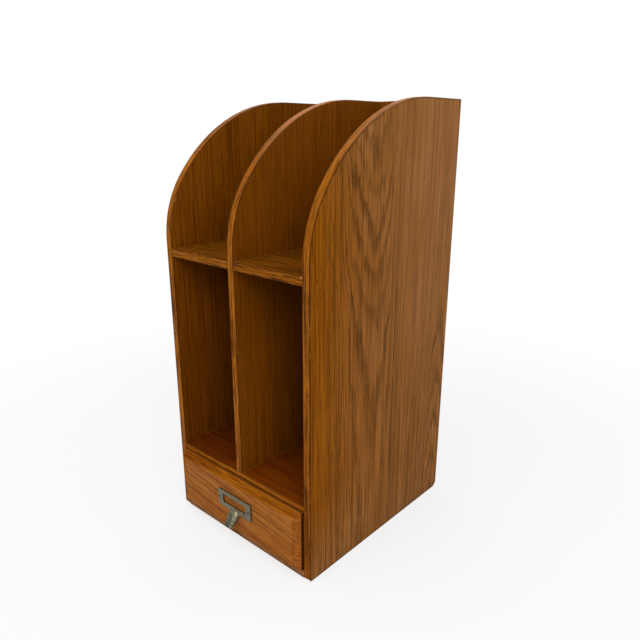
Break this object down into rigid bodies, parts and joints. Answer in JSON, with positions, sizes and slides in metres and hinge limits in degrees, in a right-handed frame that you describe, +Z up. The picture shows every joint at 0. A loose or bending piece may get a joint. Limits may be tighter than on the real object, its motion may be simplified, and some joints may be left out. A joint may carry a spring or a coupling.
{
  "type": "envelope sorter",
  "caption": "Upright wooden envelope sorter: curved sides and divider, open bays above tall slots, and a drawer below with a metal label-holder pull.",
  "frame": {"origin": "centre of the case's underside, on the surface it stands on", "axes": "+X right seen from the front, +Y to the back, +Z up; the drawer slides out along -Y"},
  "size_m": [0.227, 0.2809, 0.508],
  "materials": {
    "oak_panel": "oak-faced board, mid-brown stain, satin varnish",
    "oak_level": "oak-faced board, red-brown stain, glossy varnish",
    "oak_strip": "thin oak strip, golden-brown stain, satin varnish",
    "oak_front": "solid oak, golden-brown stain, satin varnish",
    "drawer_wood": "plain unstained wood",
    "filler": "dark wood filler",
    "steel": "plain wire",
    "aged_brass": "dull grey-green aged brass",
    "dark_brass": "blackened"
  },
  "bodies": {
    "case": {"left_side": "oak_panel", "right_side": "oak_panel", "center_divider": "oak_panel", "back_panel": "oak_panel", "upper_shelf_left": "oak_level", "upper_shelf_right": "oak_level", "drawer_deck": "oak_level", "bottom_board": "oak_level", "left_side_edge_band": "oak_strip", "right_side_edge_band": "oak_strip", "divider_edge_band": "oak_strip", "left_shelf_edge_band": "oak_strip", "right_shelf_edge_band": "oak_strip", "deck_edge_band": "oak_strip", "bottom_edge_band": "oak_strip", "shelf_brads": "steel", "brad_fillers": "filler", "back_panel_brads": "steel"},
    "drawer": {"drawer_front": "oak_front", "drawer_left_side": "drawer_wood", "drawer_right_side": "drawer_wood", "drawer_back": "drawer_wood", "drawer_bottom": "drawer_wood", "drawer_brads": "steel", "label_pull": "aged_brass", "pull_screws": "dark_brass"}
  },
  "joints": [
    {"name": "drawer_slide", "type": "slide", "parent": "case", "child": "drawer", "axis": [0, -1, 0], "range_m": [0, 0.2]}
  ]
}
